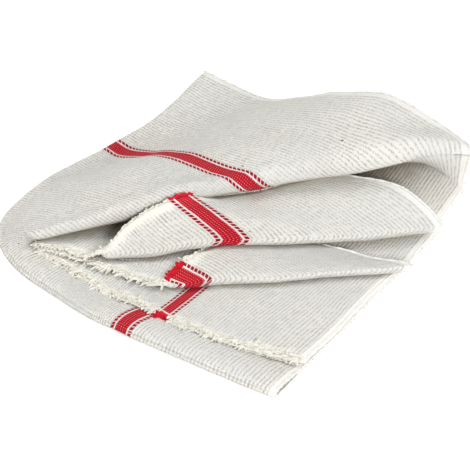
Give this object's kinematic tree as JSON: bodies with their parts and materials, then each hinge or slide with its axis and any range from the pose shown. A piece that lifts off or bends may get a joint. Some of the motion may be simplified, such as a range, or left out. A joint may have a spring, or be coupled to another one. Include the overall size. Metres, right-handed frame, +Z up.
{
  "type": "folded floor cloth",
  "caption": "Coarse woven cotton floor cloth with red stripes, doubled and heaped in a loose overhanging roll and soft flaps.",
  "frame": {"origin": "middle of the heap's footprint box, on the table it lies on", "axes": "+X to the right along the big roll, where its open end is, +Y to the back, +Z up"},
  "size_m": [0.408, 0.388, 0.0776],
  "materials": {
    "cloth": "matt coarse cotton"
  },
  "bodies": {
    "root": {"cloth": "cloth"}
  },
  "joints": []
}
